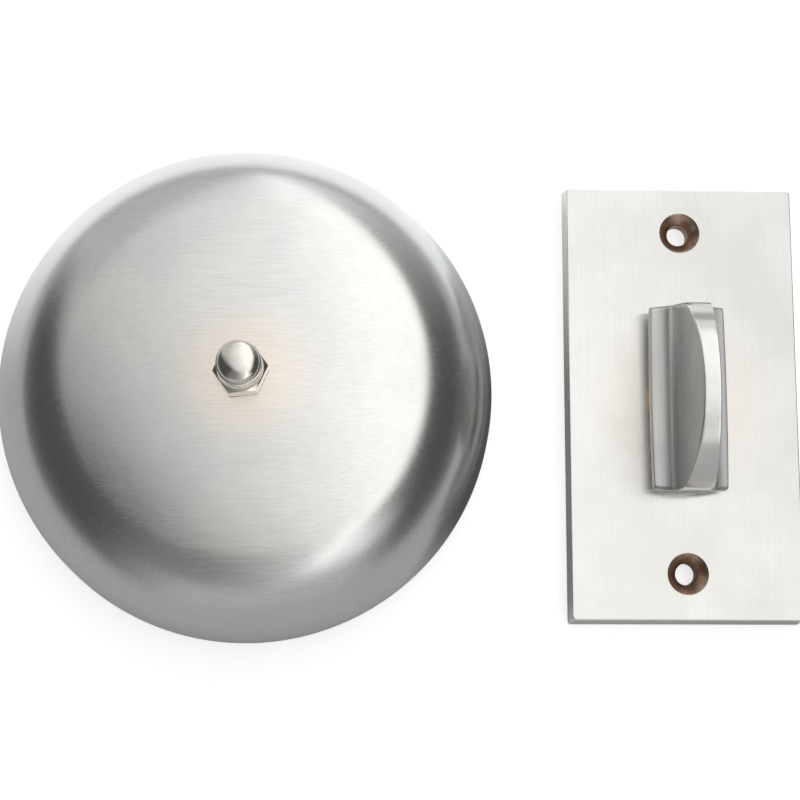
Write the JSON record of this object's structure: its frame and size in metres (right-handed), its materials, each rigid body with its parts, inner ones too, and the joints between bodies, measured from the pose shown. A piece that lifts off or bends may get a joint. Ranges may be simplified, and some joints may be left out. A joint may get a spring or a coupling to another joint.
{
  "type": "hand-turned door bell",
  "caption": "Domed brushed-nickel gong with a geared striker inside, beside its rectangular plate with a hand turn; a square spindle through the door joins them.",
  "frame": {"origin": "centre of the footprint at the plane of the mounting faces, with both units laid on their backs side by side", "axes": "+X from the gong to the turn plate, +Y up the length of the turn plate, +Z out of the mounting faces"},
  "size_m": [0.184, 0.112, 0.0548],
  "materials": {
    "gong": "satin nickel plate over cast brass, finely brushed",
    "dome_nut": "satin nickel plate",
    "turn_plate": "satin nickel plate over brass, brushed lengthwise",
    "turn": "satin nickel plate over cast brass, brushed lengthwise",
    "zinc_plate": "zinc-plated pressed steel",
    "bright_steel": "bright turned steel",
    "spring_steel": "dark spring steel",
    "brass": "rolled brass",
    "fibre": "red vulcanised fibre"
  },
  "bodies": {
    "root": {"base_plate": "zinc_plate", "gong_post": "bright_steel", "drive_bush": "brass", "bridge": "zinc_plate", "bridge_pillar_a": "bright_steel", "bridge_pillar_b": "bright_steel", "bridge_screw_a": "bright_steel", "bridge_screw_b": "bright_steel", "post_spacer": "zinc_plate", "gong_seat_washer": "fibre", "gong": "gong", "dome_nut": "dome_nut", "turn_plate": "turn_plate", "wave_washer": "spring_steel"},
    "turn": {"turn_knob": "turn", "turn_shank": "bright_steel", "thrust_washer": "brass", "retaining_clip": "spring_steel"},
    "drive": {"drive_arbor": "bright_steel", "drive_wheel": "brass"},
    "layshaft": {"layshaft_arbor": "bright_steel", "layshaft_pinion": "bright_steel", "layshaft_wheel": "brass"},
    "rotor": {"rotor_pinion": "bright_steel", "rotor_arm": "zinc_plate", "striker_pin_a": "bright_steel", "striker_pin_b": "bright_steel"},
    "striker_a": {"striker_a": "brass"},
    "striker_b": {"striker_b": "brass"}
  },
  "joints": [
    {"name": "rotor_spin", "type": "hinge", "parent": "root", "child": "rotor", "pos_m": [-0.036, 0, 0.009], "axis": [0, 0, 1], "continuous": true},
    {"name": "layshaft_spin", "type": "hinge", "parent": "root", "child": "layshaft", "pos_m": [-0.02657, -0.02032, 0.007], "axis": [0, 0, 1], "continuous": true},
    {"name": "drive_spin", "type": "hinge", "parent": "root", "child": "drive", "pos_m": [-0.05057, -0.02032, 0.005], "axis": [0, 0, 1], "continuous": true},
    {"name": "turn_twist", "type": "hinge", "parent": "root", "child": "turn", "pos_m": [0.0649, 0, 0.0055], "axis": [0, 0, 1], "continuous": true},
    {"name": "striker_a_throw", "type": "slide", "parent": "rotor", "child": "striker_a", "axis": [1, 0, 0], "range_m": [-0.0013, 0.0013]},
    {"name": "striker_b_throw", "type": "slide", "parent": "rotor", "child": "striker_b", "axis": [-1, 0, 0], "range_m": [-0.0013, 0.0013]}
  ],
  "couplings": [
    {"joint": "layshaft_spin", "follows": "rotor_spin", "ratio": -0.33333},
    {"joint": "drive_spin", "follows": "rotor_spin", "ratio": 0.083333},
    {"joint": "turn_twist", "follows": "rotor_spin", "ratio": -0.083333}
  ]
}
